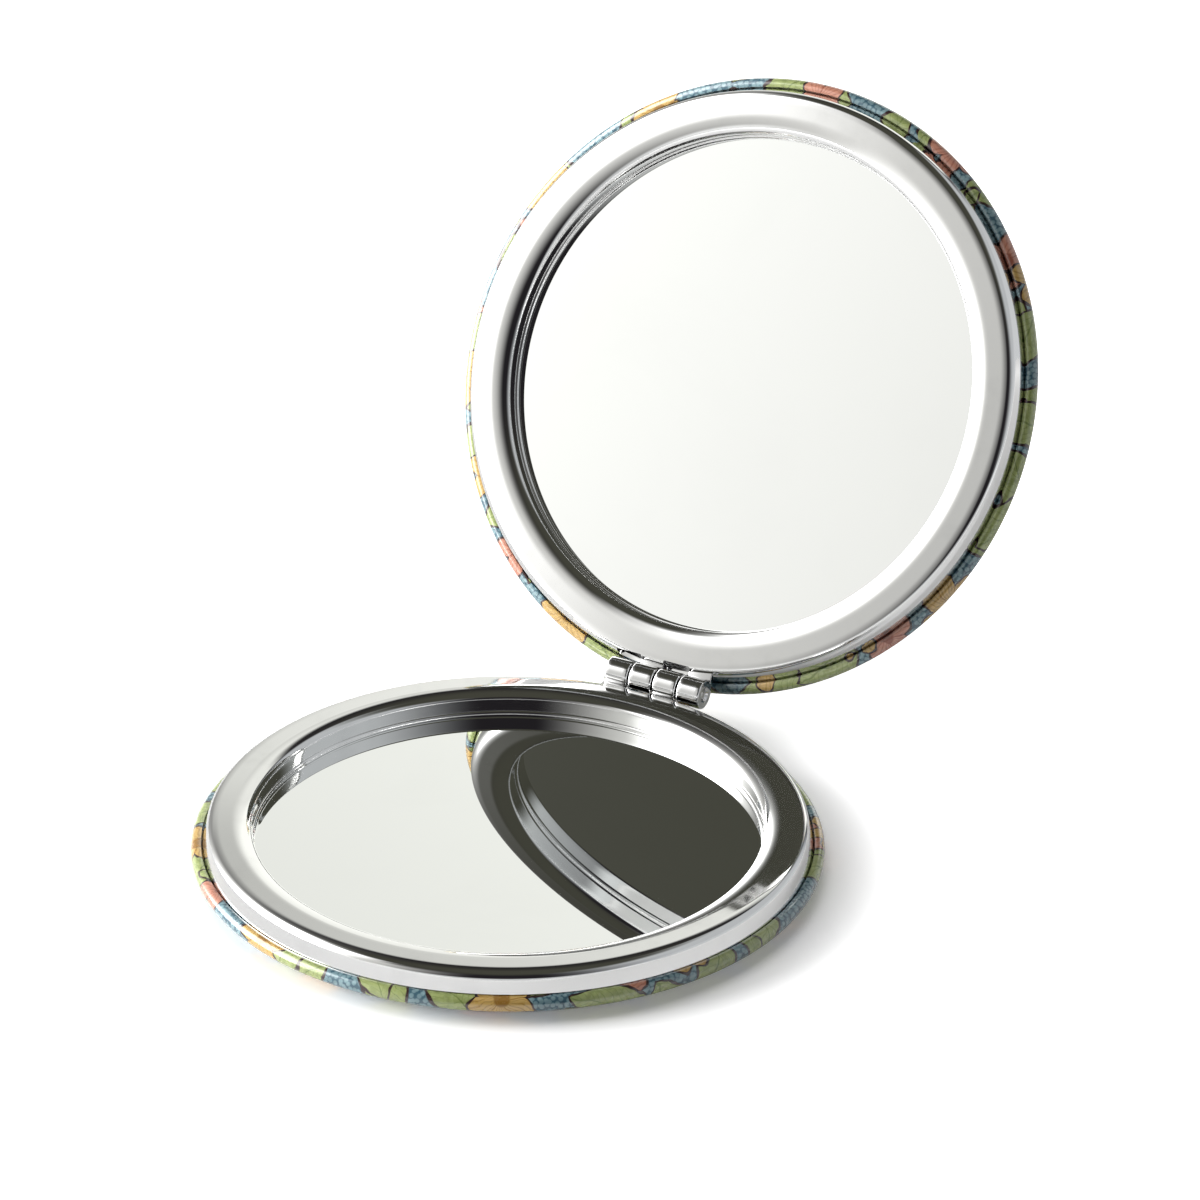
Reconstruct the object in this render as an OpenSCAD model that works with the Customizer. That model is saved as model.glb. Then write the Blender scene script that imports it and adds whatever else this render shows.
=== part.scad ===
// Round pocket compact mirror, two hinged halves, standing open on a table.
// Millimetres. +Z up, +Y towards the hinge, X along the hinge barrel.
// The origin is the centre of the flat on the underside of the lower half.
// Both halves are the same assembly: the upper one is the lower one turned
// over end for end, so the knuckles of the two leaves fall between each other.

/* [Case] */
// Overall diameter over the two rolled covers
case_d = 70; // [64:0.5:80]
// How far the rolled cover stands out past the chromed wall
rim_overhang = 1.15; // [1.1:0.01:1.3]
// Height of the middle of the rolled rim above the table
rim_z = 2.2; // [2.1:0.05:2.5]
// Radial width of the sloping shoulder between the resting flat and the rim
shoulder_w = 3.6; // [2.5:0.1:4.5]
// How far the lid stands open, counted from closed, in degrees
open_angle = 122; // [0:1:172]

/* [Chromed frame] */
// Thickness of the frame's sheet metal
frame_t = 0.45; // [0.4:0.05:0.5]
// Height of the flat land above the middle of the rolled rim
land_rise = 3.4; // [3.1:0.1:4.0]
// How far the wall leans in towards its top, in degrees
wall_draft = 14; // [12:1:16]
// Outer radius of the bend between the wall and the land
bend_r = 1.2; // [1:0.05:1.35]
// Radial width of the flat land, between the bend and the lip
land_w = 1.95; // [1.8:0.01:2.3]
// Radial width of the rounded lip round the opening
lip_w = 1.95; // [1.7:0.05:2.1]
// Height of the rounded lip
lip_h = 0.8; // [0.7:0.05:1.2]
// Height of the turned-in foot that holds the glass down
foot_h = 0.45; // [0.3:0.05:0.6]
// How far the foot reaches in over the glass
foot_w = 0.3; // [0.2:0.05:0.5]

/* [Mirror] */
// Thickness of the silvered glass
glass_t = 1.25; // [1:0.05:1.4]
// How far the glass runs under the frame, all round
glass_overlap = 0.75; // [0.6:0.05:1]
// Width of the ground bevel on the edge of the glass
glass_bevel = 0.12; // [0.05:0.01:0.2]
// Thickness of the double-sided tape behind the glass
glass_tape_t = 0.15; // [0.1:0.01:0.25]
// How far the tape stops short of the edge of the glass
glass_tape_inset = 1.5; // [1:0.1:4]
// Thickness of the pressed back pan
pan_t = 0.25; // [0.2:0.05:0.3]
// Radial gap between the edge of the glass and the pan's bend
pan_gap = 0.4; // [0.3:0.05:0.6]
// Radial width of the pan's sloping step
pan_step_w = 0.9; // [0.7:0.05:1.2]

/* [Cover] */
// Thickness of the printed skin
skin_t = 0.25; // [0.2:0.01:0.3]
// Thickness of the foam pad under the skin
pad_t = 0.65; // [0.5:0.05:0.8]
// Thickness of the tinplate cover shell
shell_t = 0.25; // [0.2:0.01:0.3]
// Thickness of the adhesive disc between the shell and the pan
cover_tape_t = 0.15; // [0.05:0.01:0.2]
// Radial width of the bevelled edge of the pad
pad_bevel = 1.5; // [1:0.1:2.5]
// How far the adhesive disc stops short of the edge of the shell's flat
cover_tape_inset = 0.8; // [0.5:0.1:3]
// Width of the skin's hem where it is tucked in beside the wall
hem_w = 0.14; // [0.1:0.01:0.2]

/* [Hinge] */
// Length of the barrel over its four knuckles
hinge_len = 12; // [9:0.5:18]
// Outside diameter of the knuckles
knuckle_d = 3.4; // [3:0.1:4]
// Gap between neighbouring knuckles
knuckle_gap = 0.2; // [0.15:0.05:0.3]
// Bevel on the outer corners of each knuckle
knuckle_bevel = 0.15; // [0.05:0.01:0.2]
// Diameter of the hinge pin
pin_d = 1.3; // [1:0.05:1.6]
// Depth of the countersink round the pin at each knuckle's ends
pin_sink = 0.15; // [0.05:0.01:0.25]
// How far each end of the pin lies inside the barrel
pin_recess = 0.06; // [0.02:0.01:0.15]
// Height of the rounded end of the pin
pin_crown = 0.2; // [0.1:0.05:0.3]
// Thickness of the leaf's sheet metal
leaf_t = 0.6; // [0.4:0.05:0.7]
// How far the leaf runs past each end of the barrel
leaf_extra = 0.5; // [0.2:0.1:2]
// How far the barrel reaches in over the foot of the chromed wall
barrel_tuck = 0.58; // [0.45:0.01:0.62]
// How far each square notch runs into the land, counted from the barrel
notch_depth = 0.9; // [0.5:0.05:1.2]

/* [Closure] */
// Length of the bar magnet behind the front of the land
magnet_l = 7; // [4:0.5:10]
// Thickness of the bar magnet
magnet_t = 1.5; // [1:0.1:1.8]

/* [Hidden] */

// Clearances
cover_fit = 0.03;
curl_fit = 0.02;
foot_fit = 0.02;
pin_fit = 0.04;
slot_fit = 0.03;
notch_gap = 0.2;
closed_gap = 0.2;
channel_fit = 0.05;
overrun = 1;

// Rolled rim: the frame's flange and the pan's rim lie in the shell's curl
case_r = case_d / 2;
clamp_t = frame_t + pan_t;
curl_r = clamp_t / 2 + curl_fit;
rim_r = curl_r + shell_t + skin_t;
rim_at_r = case_r - rim_r;
rest_r = rim_at_r - shoulder_w;
shoulder_r = (shoulder_w * shoulder_w + rim_z * rim_z - rim_r * rim_r) / (2 * (rim_z - rim_r));
shoulder_end = atan2(rim_z - shoulder_r, shoulder_w);
arc_steps = 12;

// Stack of the flat layers, counted up from the table
pad_z = skin_t;
shell_z = pad_z + pad_t;
cover_tape_z = shell_z + shell_t;
pan_z = cover_tape_z + cover_tape_t;
glass_tape_z = pan_z + pan_t;
glass_z = glass_tape_z + glass_tape_t;
glass_top = glass_z + glass_t;

// Frame
frame_r = case_r - rim_overhang;
frame_in_r = frame_r - frame_t * (1 - sin(wall_draft)) / cos(wall_draft);
flange_top = rim_z + clamp_t / 2;
flange_z = flange_top - frame_t;
pan_rim_z = flange_z - pan_t;
land_z = rim_z + land_rise;
under_land = land_z - frame_t;
bend_z = land_z - bend_r;
wall_lean = (bend_z + bend_r * sin(wall_draft) - flange_top) * tan(wall_draft);
bend_at_r = frame_r - wall_lean - bend_r * cos(wall_draft);
lip_at_r = bend_at_r - land_w;
well_r = lip_at_r - lip_w;
glass_r = well_r + glass_overlap;
pan_floor_r = glass_r + pan_gap;

// Cover
shell_flat_r = rest_r - pad_bevel;
seam_r = frame_r + cover_fit;
hem_r = seam_r + hem_w;
hem_end = acos((seam_r - rim_at_r) / rim_r);
shell_top = rim_z + rim_r - skin_t;

// Hinge
knuckles = 4;
own_knuckles = [0, 2];
mate_knuckles = [1, 3];
knuckle_r = knuckle_d / 2;
pin_r = pin_d / 2;
knuckle_len = (hinge_len - (knuckles - 1) * knuckle_gap) / knuckles;
hinge_y = frame_r + knuckle_r - barrel_tuck;
hinge_z = land_z + closed_gap / 2;
leaf_z = under_land - leaf_t;
leaf_in_r = lip_at_r + channel_fit;
leaf_out_r = bend_at_r - channel_fit;
leaf_half = asin((hinge_len / 2 + leaf_extra) / leaf_out_r);
slot_y = sqrt(bend_at_r * bend_at_r - hinge_len * hinge_len / 4) - channel_fit;
tab_end_y = hinge_y - (knuckle_r + pin_r) / 2;
pin_len = hinge_len - 2 * pin_recess;
pin_dome = 60;

// Magnet, in the straight part of the channel under the land
magnet_in_y = lip_at_r + channel_fit;
magnet_out_y = sqrt(bend_at_r * bend_at_r - magnet_l * magnet_l / 4) - channel_fit;

$fn = 96;

function arc(at, r, from, to, n = arc_steps) =
    [for (i = [0:n]) at + r * [cos(from + (to - from) * i / n), sin(from + (to - from) * i / n)]];

function oval(at, w, h, from, to, n = arc_steps) =
    [for (i = [0:n]) at + [w * cos(from + (to - from) * i / n), h * sin(from + (to - from) * i / n)]];

function reversed(points) = [for (i = [len(points) - 1:-1:0]) points[i]];

// Left end of a knuckle, counted from the barrel's -X end
function knuckle_x(i) = i * (knuckle_len + knuckle_gap) - hinge_len / 2;

// Half outline of the cover from its middle to its rim, set in by a depth
function cover_curve(depth, rim_end) = concat(
    arc([rest_r, shoulder_r], shoulder_r - depth, -90, shoulder_end),
    arc([rim_at_r, rim_z], rim_r - depth, shoulder_end, rim_end)
);

// Inner face of the sheet-metal shell: flat under the pad, then along the curl
function shell_inner() = concat(
    [[0, shell_z + shell_t], [shell_flat_r, shell_z + shell_t]],
    cover_curve(skin_t + shell_t, 90)
);

function shell_outer() = concat(
    [[0, shell_z], [shell_flat_r, shell_z]],
    cover_curve(skin_t, 90)
);

// Pressed frame: flange, wall, bend, land, lip, well wall and foot
function frame_outer() = concat(
    [[rim_at_r, flange_z], [rim_at_r, flange_top], [frame_r, flange_top]],
    arc([bend_at_r, bend_z], bend_r, wall_draft, 90),
    oval([lip_at_r, land_z - lip_h], lip_w, lip_h, 90, 180),
    oval([well_r, glass_top + foot_fit], foot_w, foot_h, 90, 180, arc_steps / 2)
);

function frame_inner() = concat(
    [[well_r + frame_t, glass_top + foot_fit]],
    oval([lip_at_r, land_z - lip_h], lip_w - frame_t, lip_h - frame_t, 180, 90),
    arc([bend_at_r, bend_z], bend_r - frame_t, 90, wall_draft),
    [[frame_in_r, flange_z]]
);

module frame() {
    difference() {
        rotate_extrude() polygon(concat(frame_outer(), frame_inner()));
        for (i = own_knuckles) tab_slot(i);
        for (i = mate_knuckles) mate_notch(i);
    }
}

// Slot in the wall that the leaf's tab passes through
module tab_slot(i) {
    translate([knuckle_x(i) - slot_fit, slot_y, leaf_z - slot_fit])
        cube([knuckle_len + 2 * slot_fit, hinge_y - slot_y, leaf_t + 2 * slot_fit]);
}

// Square notch in the wall and land that clears a knuckle of the other half
module mate_notch(i) {
    notch_z = hinge_z - knuckle_r - notch_gap;
    notch_y = hinge_y - knuckle_r - notch_depth;
    translate([knuckle_x(i) - notch_gap, notch_y, notch_z])
        cube([knuckle_len + 2 * notch_gap, hinge_y - notch_y, land_z - notch_z + overrun]);
}

// Shallow pan that closes the back and carries the glass
module back_pan() {
    rotate_extrude() polygon([
        [0, pan_z],
        [pan_floor_r, pan_z],
        [pan_floor_r + pan_step_w, pan_rim_z],
        [rim_at_r, pan_rim_z],
        [rim_at_r, pan_rim_z + pan_t],
        [pan_floor_r + pan_step_w, pan_rim_z + pan_t],
        [pan_floor_r, pan_z + pan_t],
        [0, pan_z + pan_t]
    ]);
}

// Leaf spot-welded under the land, with a tab through the wall to each knuckle
module hinge_leaf(bore_r) {
    translate([0, 0, leaf_z])
        rotate([0, 0, 90 - leaf_half])
            rotate_extrude(angle = 2 * leaf_half)
                translate([leaf_in_r, 0]) square([leaf_out_r - leaf_in_r, leaf_t]);
    for (i = own_knuckles) {
        translate([knuckle_x(i), leaf_in_r + leaf_t, leaf_z])
            cube([knuckle_len, tab_end_y - leaf_in_r - leaf_t, leaf_t]);
        knuckle(i, bore_r);
    }
}

// One knuckle with bevelled corners and a countersunk bore
module knuckle(i, bore_r) {
    translate([knuckle_x(i), hinge_y, hinge_z]) rotate([0, 90, 0])
        rotate_extrude() polygon([
            [bore_r + pin_sink, 0],
            [knuckle_r - knuckle_bevel, 0],
            [knuckle_r, knuckle_bevel],
            [knuckle_r, knuckle_len - knuckle_bevel],
            [knuckle_r - knuckle_bevel, knuckle_len],
            [bore_r + pin_sink, knuckle_len],
            [bore_r, knuckle_len - pin_sink],
            [bore_r, pin_sink]
        ]);
}

module mirror_glass() {
    translate([0, 0, glass_z]) rotate_extrude() polygon([
        [0, 0],
        [glass_r - glass_bevel, 0],
        [glass_r, glass_bevel],
        [glass_r, glass_t - glass_bevel],
        [glass_r - glass_bevel, glass_t],
        [0, glass_t]
    ]);
}

module mirror_tape() {
    translate([0, 0, glass_tape_z]) cylinder(r = glass_r - glass_tape_inset, h = glass_tape_t);
}

module closing_magnet() {
    translate([-magnet_l / 2, -magnet_out_y, under_land - magnet_t])
        cube([magnet_l, magnet_out_y - magnet_in_y, magnet_t]);
}

// Tinplate shell whose rim is curled over the frame's flange and the pan's rim
module cover_shell() {
    rotate_extrude() polygon(concat(
        shell_outer(),
        [[hem_r, shell_top], [hem_r, shell_top - shell_t]],
        reversed(shell_inner())
    ));
}

module cover_pad() {
    rotate_extrude() polygon([
        [0, pad_z],
        [rest_r, pad_z],
        [shell_flat_r, shell_z],
        [0, shell_z]
    ]);
}

// Printed skin: flat, shoulder and rim in one, its hem tucked beside the wall
module cover_skin() {
    rotate_extrude() polygon(concat(
        [[0, 0]],
        cover_curve(0, hem_end),
        [[seam_r, flange_top + curl_fit], [hem_r, flange_top + curl_fit], [hem_r, shell_top]],
        reversed(cover_curve(skin_t, 90)),
        [[0, skin_t]]
    ));
}

module cover_tape() {
    translate([0, 0, cover_tape_z]) cylinder(r = shell_flat_r - cover_tape_inset, h = cover_tape_t);
}

// Turns a lower-half piece over end for end and swings it open
module in_lid() {
    translate([0, hinge_y, hinge_z])
        rotate([-open_angle, 0, 0])
            rotate([0, 180, 0])
                translate([0, -hinge_y, -hinge_z])
                    children();
}

module base_frame() { color("gainsboro") frame(); }
module base_back_pan() { color("darkgray") back_pan(); }
module base_hinge_leaf() { color("silver") hinge_leaf(pin_r + pin_fit); }
module base_mirror() { color("aliceblue") mirror_glass(); }
module base_mirror_tape() { color("ivory") mirror_tape(); }
module base_magnet() { color("dimgray") closing_magnet(); }
module base_cover_shell() { color("lightslategray") cover_shell(); }
module base_cover_pad() { color("whitesmoke") cover_pad(); }
module base_cover_skin() { color("cadetblue") cover_skin(); }
module base_cover_tape() { color("khaki") cover_tape(); }

module lid_frame() { color("gainsboro") in_lid() frame(); }
module lid_back_pan() { color("darkgray") in_lid() back_pan(); }
module lid_hinge_leaf() { color("silver") in_lid() hinge_leaf(pin_r); }
module lid_mirror() { color("aliceblue") in_lid() mirror_glass(); }
module lid_mirror_tape() { color("ivory") in_lid() mirror_tape(); }
module lid_magnet() { color("dimgray") in_lid() closing_magnet(); }
module lid_cover_shell() { color("lightslategray") in_lid() cover_shell(); }
module lid_cover_pad() { color("whitesmoke") in_lid() cover_pad(); }
module lid_cover_skin() { color("darkseagreen") in_lid() cover_skin(); }
module lid_cover_tape() { color("khaki") in_lid() cover_tape(); }

// Pin pressed into the lid's knuckles, free to turn in the base's
module hinge_pin() {
    color("gray") translate([-pin_len / 2, hinge_y, hinge_z]) rotate([0, 90, 0])
        rotate_extrude() polygon(concat(
            [[0, 0]],
            oval([0, pin_crown], pin_r, pin_crown, -pin_dome, 0, arc_steps / 2),
            oval([0, pin_len - pin_crown], pin_r, pin_crown, 0, pin_dome, arc_steps / 2),
            [[0, pin_len]]
        ));
}

base_frame();
base_back_pan();
base_hinge_leaf();
base_mirror();
base_mirror_tape();
base_magnet();
base_cover_shell();
base_cover_pad();
base_cover_skin();
base_cover_tape();
lid_frame();
lid_back_pan();
lid_hinge_leaf();
lid_mirror();
lid_mirror_tape();
lid_magnet();
lid_cover_shell();
lid_cover_pad();
lid_cover_skin();
lid_cover_tape();
hinge_pin();
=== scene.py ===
"""Dresses the folding pocket mirror: chromed frames, printed covers, hinge and glass.

Lengths are in metres. A half is built in the place of the lower one, on the table,
and the upper half is the same shapes turned over end for end and swung open.
"""

import logging
import math
from dataclasses import dataclass, field
from enum import Enum

import bmesh
import bpy
import numpy as np
from mathutils import Matrix, Vector


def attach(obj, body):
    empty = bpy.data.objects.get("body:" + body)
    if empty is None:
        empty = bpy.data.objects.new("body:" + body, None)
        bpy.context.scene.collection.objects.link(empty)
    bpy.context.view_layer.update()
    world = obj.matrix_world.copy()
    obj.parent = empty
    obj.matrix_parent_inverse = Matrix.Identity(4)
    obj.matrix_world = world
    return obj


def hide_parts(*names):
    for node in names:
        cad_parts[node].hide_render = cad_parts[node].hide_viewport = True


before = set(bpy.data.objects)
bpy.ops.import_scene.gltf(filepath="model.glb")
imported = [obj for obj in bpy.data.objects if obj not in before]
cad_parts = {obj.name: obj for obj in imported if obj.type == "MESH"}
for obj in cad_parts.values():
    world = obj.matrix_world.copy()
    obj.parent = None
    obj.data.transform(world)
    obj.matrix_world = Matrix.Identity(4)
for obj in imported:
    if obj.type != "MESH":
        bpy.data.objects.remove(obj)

log = logging.getLogger("compact_mirror")
MM = 0.001

Pair = tuple[float, float]
Triple = tuple[float, float, float]
Colour = tuple[float, float, float]
Solid = tuple[np.ndarray, list[list[int]]]
Socket = bpy.types.NodeSocket
Value = float | Socket
WHITE: Colour = (1.0, 1.0, 1.0)


class Half(Enum):
    """The two halves of the case, by the body that each rides on."""

    BASE = "base"
    LID = "lid"


# Outlines and surfaces


def oval(centre: Pair, width: float, height: float, start: float, end: float, steps: int) -> np.ndarray:
    """Points along part of an ellipse: centre plus (width cos a, height sin a).

    Args:
        centre: Radius and height of the middle.
        width: Half width along the radius.
        height: Half height.
        start: First angle in degrees.
        end: Last angle in degrees.
        steps: Number of chords.

    Returns:
        An array of steps + 1 rows of radius and height.
    """
    angle = np.radians(np.linspace(start, end, steps + 1))
    return np.stack([centre[0] + width * np.cos(angle), centre[1] + height * np.sin(angle)], axis=1)


def heading(angle: float) -> np.ndarray:
    """The direction at an angle in degrees, as its two coordinates."""
    return np.array([math.cos(math.radians(angle)), math.sin(math.radians(angle))])


def bar(start: Pair, end: Pair, steps: int) -> np.ndarray:
    """Points evenly along a straight line: start plus t times (end - start).

    Args:
        start: Radius and height of the first point.
        end: Radius and height of the last point.
        steps: Number of pieces the line is cut in.

    Returns:
        An array of steps + 1 rows of radius and height.
    """
    share = np.linspace(0.0, 1.0, steps + 1)[:, None]
    return np.asarray(start)[None, :] * (1 - share) + np.asarray(end)[None, :] * share


def thinned(outline: np.ndarray, least: float = 2e-6) -> np.ndarray:
    """Drops each point of a closed outline that lies on the point before it.

    Args:
        outline: Rows of radius and height.
        least: Smallest distance kept between neighbours.

    Returns:
        The outline without its doubled points.
    """
    gaps = np.linalg.norm(outline - np.roll(outline, 1, axis=0), axis=1)
    return outline[gaps > least]


def revolve(outline: np.ndarray, turns: int) -> Solid:
    """Turns a closed outline about the height axis.

    Each outline point (r, z) gives a ring of points (r cos t, r sin t, z). An outline
    whose first and last points lie on the axis closes there with two poles.

    Args:
        outline: Rows of radius and height, anticlockwise with radius to the right.
        turns: Number of steps round the axis.

    Returns:
        The vertices and the faces, with the normals outwards.
    """
    poled = bool(outline[0, 0] < 1e-9 and outline[-1, 0] < 1e-9)
    ring = outline[1:-1] if poled else outline
    count = len(ring)
    turn = np.arange(turns) * (2 * math.pi / turns)
    verts = np.empty((turns, count, 3))
    verts[:, :, 0] = np.cos(turn)[:, None] * ring[None, :, 0]
    verts[:, :, 1] = np.sin(turn)[:, None] * ring[None, :, 0]
    verts[:, :, 2] = ring[None, :, 1]
    index = np.arange(turns * count).reshape(turns, count)
    after = np.roll(index, -1, axis=0)
    if poled:
        left, left_up = index[:, :-1], index[:, 1:]
        right, right_up = after[:, :-1], after[:, 1:]
    else:
        left, left_up = index, np.roll(index, -1, axis=1)
        right, right_up = after, np.roll(after, -1, axis=1)
    quads = np.stack([left, right, right_up, left_up], axis=-1).reshape(-1, 4)
    points = verts.reshape(-1, 3)
    faces = quads.tolist()
    if poled:
        low, high = turns * count, turns * count + 1
        points = np.vstack([points, [[0, 0, outline[0, 1]], [0, 0, outline[-1, 1]]]])
        faces += np.stack([np.full(turns, low), after[:, 0], index[:, 0]], axis=1).tolist()
        faces += np.stack([np.full(turns, high), index[:, -1], after[:, -1]], axis=1).tolist()
    return points, faces


def rounded_block(low: Triple, high: Triple, radius: float, steps: int = 3) -> Solid:
    """A block whose edges and corners are rounded.

    Each face is a grid of points on the unit cube. A point p moves to the nearest place
    c inside the block shrunk by the radius, plus the radius times the direction from c.

    Args:
        low: Lowest corner.
        high: Highest corner.
        radius: Radius of the edges.
        steps: Grid steps across each rounded edge.

    Returns:
        The vertices and the faces, with the normals outwards.
    """
    lows, highs = np.asarray(low, float), np.asarray(high, float)
    middle, reach = (lows + highs) / 2, (highs - lows) / 2
    radius = min(radius, float(reach.min()) * 0.95)
    edge = np.tan(np.linspace(0, math.pi / 4, steps + 1))
    line = np.concatenate([-1 - edge[::-1], 1 + edge])
    size = len(line)
    first, second = np.meshgrid(line, line, indexing="ij")
    index = np.arange(size * size).reshape(size, size)
    quads = np.stack([index[:-1, :-1], index[1:, :-1], index[1:, 1:], index[:-1, 1:]], axis=-1)
    quads = quads.reshape(-1, 4)
    points, faces, offset = [], [], 0
    for axis in range(3):
        for side in (-1.0, 1.0):
            grid = np.zeros((size * size, 3))
            grid[:, axis] = side * 2
            grid[:, (axis + 1) % 3] = first.ravel()
            grid[:, (axis + 2) % 3] = second.ravel()
            core = np.clip(grid, -1, 1)
            away = grid - core
            away /= np.linalg.norm(away, axis=1)[:, None]
            points.append(middle + core * (reach - radius) + away * radius)
            turned = quads if side > 0 else quads[:, ::-1]
            faces.append(turned + offset)
            offset += size * size
    return np.vstack(points), np.vstack(faces).tolist()


def joined(*solids: Solid) -> Solid:
    """Puts several solids in one list of vertices and one of faces.

    Args:
        solids: Vertices and faces of each solid.

    Returns:
        The vertices and faces of all of them.
    """
    points, faces, offset = [], [], 0
    for verts, own in solids:
        points.append(verts)
        faces += [[corner + offset for corner in face] for face in own]
        offset += len(verts)
    return np.vstack(points), faces


def merged(mesh: bpy.types.Mesh, distance: float = 1e-7) -> None:
    """Merges the doubled points of a mesh.

    Args:
        mesh: The mesh to change.
        distance: Points nearer than this become one.
    """
    work = bmesh.new()
    work.from_mesh(mesh)
    bmesh.ops.remove_doubles(work, verts=work.verts, dist=distance)
    work.to_mesh(mesh)
    work.free()


def piece(
    name: str, solid: Solid, place: Matrix, sharp_from: float, flat: np.ndarray | None = None
) -> bpy.types.Object:
    """Makes a mesh object whose place is in its mesh.

    Args:
        name: The object's name.
        solid: Vertices and faces.
        place: Placement put into the vertices.
        sharp_from: Edges that turn by more than this many degrees stay crisp.
        flat: A flat map of the surface, one row of two numbers per vertex.

    Returns:
        The object, linked to the scene.
    """
    verts, faces = solid
    turned = np.asarray(place)[:3, :3] @ verts.T + np.asarray(place)[:3, 3:4]
    mesh = bpy.data.meshes.new(name)
    mesh.from_pydata(turned.T.tolist(), [], faces)
    if flat is not None:
        corner = np.empty(len(mesh.loops), np.int32)
        mesh.loops.foreach_get("vertex_index", corner)
        film = mesh.uv_layers.new(name=PrintedFilm.MAP)
        film.data.foreach_set("uv", flat[corner].astype(np.float32).ravel())
    mesh.update()
    merged(mesh)
    mesh.shade_smooth()
    mesh.set_sharp_from_angle(angle=math.radians(sharp_from))
    made = bpy.data.objects.new(name, mesh)
    bpy.context.scene.collection.objects.link(made)
    return made


# Materials


def opaque(colour: Colour | Socket) -> object:
    """A colour with nothing seen through it, or the socket that gives one."""
    return colour if isinstance(colour, bpy.types.NodeSocket) else (*colour, 1.0)


@dataclass
class Recipe:
    """A node tree being written, with short calls for the nodes that the finishes use."""

    tree: bpy.types.NodeTree
    shader: bpy.types.Node | None = None

    def node(self, kind: str, values: dict | None = None, **settings: object) -> bpy.types.Node:
        """Adds one node.

        Args:
            kind: The node's type, without its Shader prefix.
            values: Its inputs, each a constant or the socket that feeds it.
            settings: Its own properties.

        Returns:
            The new node.
        """
        made = self.tree.nodes.new("ShaderNode" + kind)
        for key, value in settings.items():
            setattr(made, key, value)
        for key, value in (values or {}).items():
            if isinstance(value, bpy.types.NodeSocket):
                self.tree.links.new(value, made.inputs[key])
            else:
                made.inputs[key].default_value = value
        return made

    def feed(self, name: str, socket: Socket) -> None:
        """Links a socket to an input of the finish's shader."""
        self.tree.links.new(socket, self.shader.inputs[name])

    def emboss(self, height: Socket, depth: float, strength: float = 1.0) -> None:
        """Gives the shader a relief, as deep as depth metres where the height is 1."""
        relief = self.node("Bump", {"Strength": strength, "Distance": depth, "Height": height})
        self.feed("Normal", relief.outputs[0])

    def maths(self, operation: str, first: Value, second: Value = 0.0, third: Value = 0.0) -> Socket:
        """One Math node, by its operation and up to three inputs."""
        return self.node("Math", {0: first, 1: second, 2: third}, operation=operation).outputs[0]

    def times(self, first: Value, second: Value) -> Socket:
        """The product of two values."""
        return self.maths("MULTIPLY", first, second)

    def step(self, value: Socket, low: float, high: float, at_low: float = 0, at_high: float = 1) -> Socket:
        """A soft step of a value, from at_low at low to at_high at high."""
        values = {"Value": value, "From Min": low, "From Max": high, "To Min": at_low, "To Max": at_high}
        return self.node("MapRange", values, interpolation_type="SMOOTHSTEP").outputs["Result"]

    def tint(self, share: Value, under: Colour | Socket, over: Colour | Socket) -> Socket:
        """Lays one colour over another.

        Args:
            share: How much of the upper colour shows.
            under: Lower colour or socket.
            over: Upper colour or socket.

        Returns:
            The mixed colour.
        """
        values = {0: share, 6: opaque(under), 7: opaque(over)}
        return self.node("Mix", values, data_type="RGBA").outputs[2]

    def noise(
        self, place: Socket, scale: float, detail: float, rough: float = 0.5, swirl: float = 0
    ) -> Socket:
        """A noise value over the surface, scale being grains to one unit of the place."""
        values = {"Vector": place, "Scale": scale, "Detail": detail, "Roughness": rough, "Distortion": swirl}
        return self.node("TexNoise", values).outputs[0]

    def cells(self, place: Socket, scale: float, randomness: float) -> bpy.types.Node:
        """Flat cells, scale to one unit of the place, each moved at random off an even grid."""
        values = {"Vector": place, "Scale": scale, "Randomness": randomness}
        return self.node("TexVoronoi", values, feature="F1", voronoi_dimensions="2D")

    def vector(self, operation: str, first: Socket, second: Triple | Socket = (0.0, 0.0, 0.0)) -> Socket:
        """One Vector Math node, by its operation and two inputs."""
        return self.node("VectorMath", {0: first, 1: second}, operation=operation).outputs[0]

    def object_place(self) -> Socket:
        """The point on the piece, in metres."""
        return self.node("TexCoord").outputs["Object"]


@dataclass(frozen=True)
class Finish:
    """A finish: its name, and what every finish sets on its shader."""

    name: str
    colour: Colour
    roughness: float
    metal: float = 0.0

    def material(self) -> bpy.types.Material:
        """Makes the material with its surface detail.

        Returns:
            The new material.
        """
        made = bpy.data.materials.new(self.name)
        made.use_nodes = True
        made.node_tree.nodes.clear()
        made.diffuse_color = opaque(self.colour)
        made.metallic = self.metal
        made.roughness = self.roughness
        recipe = Recipe(made.node_tree)
        values = {"Base Color": opaque(self.colour), "Roughness": self.roughness, "Metallic": self.metal}
        recipe.shader = recipe.node("BsdfPrincipled", values)
        self.detail(recipe)
        recipe.node("OutputMaterial", {"Surface": recipe.shader.outputs[0]})
        return made

    def detail(self, recipe: Recipe) -> None:
        """Adds the finish's own colour, roughness and relief to the shader."""

    def mottle(self, recipe: Recipe, share: Socket, darkest: float) -> None:
        """Darkens the colour by a share, to darkest times itself where the share is 1."""
        dark = tuple(part * darkest for part in self.colour)
        recipe.feed("Base Color", recipe.tint(share, self.colour, dark))


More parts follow.
